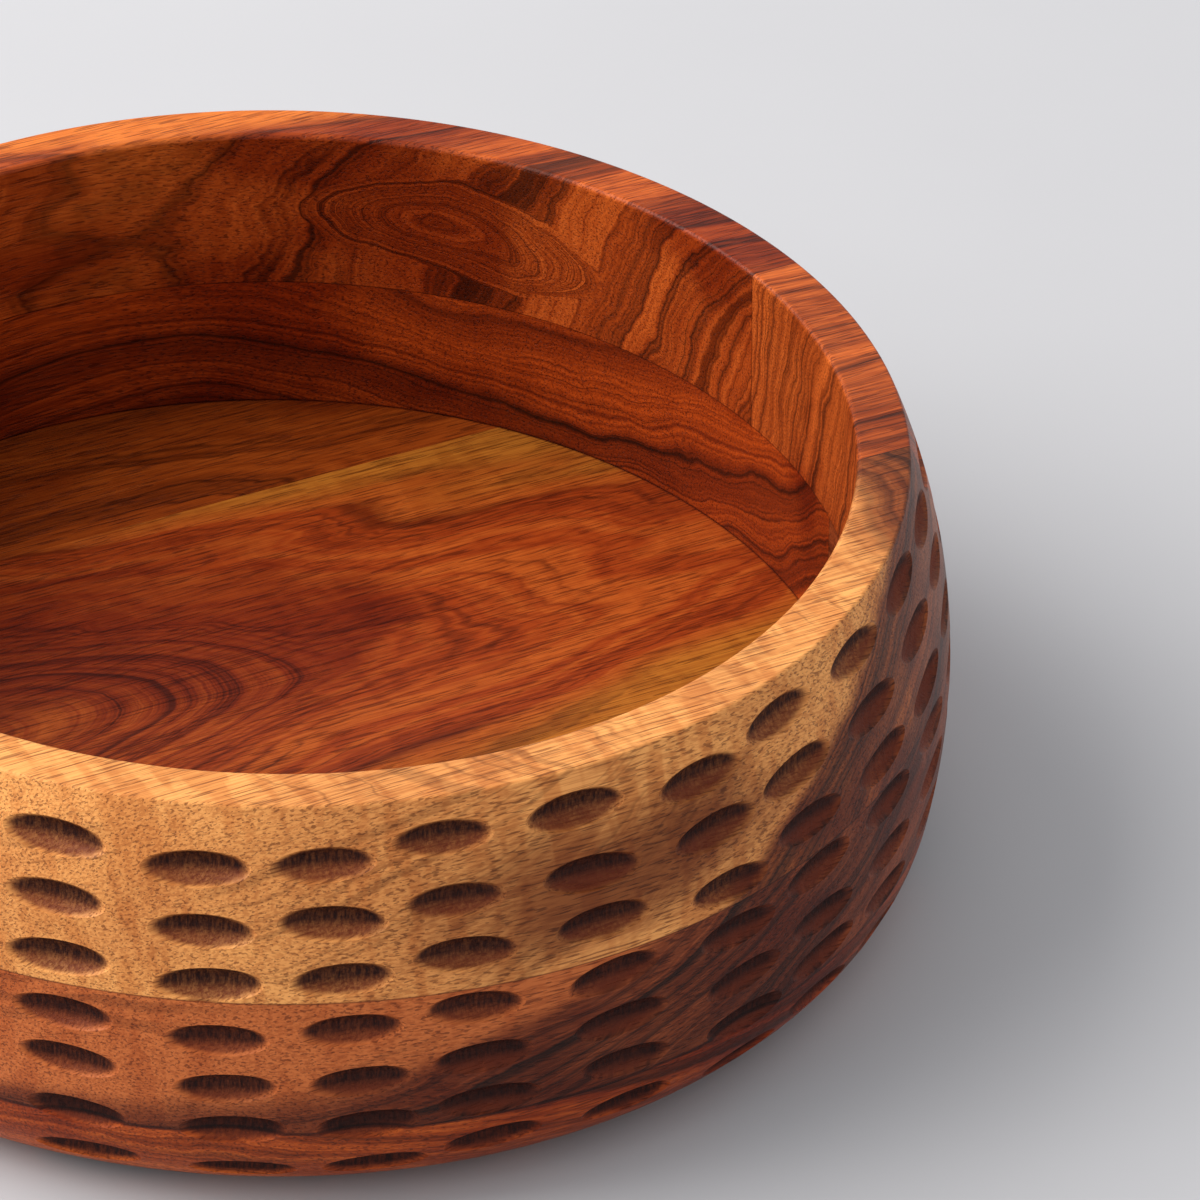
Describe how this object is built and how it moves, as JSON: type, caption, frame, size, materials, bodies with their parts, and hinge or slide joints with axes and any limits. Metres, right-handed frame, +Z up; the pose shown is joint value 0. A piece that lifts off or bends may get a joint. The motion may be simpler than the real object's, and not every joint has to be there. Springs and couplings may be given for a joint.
{
  "type": "wooden bowl",
  "caption": "Round turned wooden bowl, glued up from boards in flat layers, with gouge marks carved over the outside wall and a flat floor.",
  "frame": {"origin": "centre of the flat foot, on the table", "axes": "+Z up out of the mouth, +X along the grain of the boards, +Y square to the boards' upright glue joints"},
  "size_m": [0.3049, 0.305, 0.102],
  "materials": {
    "upper_ring_wood": "satin oiled",
    "lower_ring_wood": "satin oiled",
    "base_wood": "satin oiled"
  },
  "bodies": {
    "root": {"upper_ring_back": "upper_ring_wood", "upper_ring_left": "upper_ring_wood", "upper_ring_right": "upper_ring_wood", "upper_ring_front": "upper_ring_wood", "lower_ring_back": "lower_ring_wood", "lower_ring_left_back": "lower_ring_wood", "lower_ring_right_back": "lower_ring_wood", "lower_ring_left_front": "lower_ring_wood", "lower_ring_right_front": "lower_ring_wood", "lower_ring_front": "lower_ring_wood", "base_back": "base_wood", "base_middle": "base_wood", "base_front": "base_wood"}
  },
  "joints": []
}
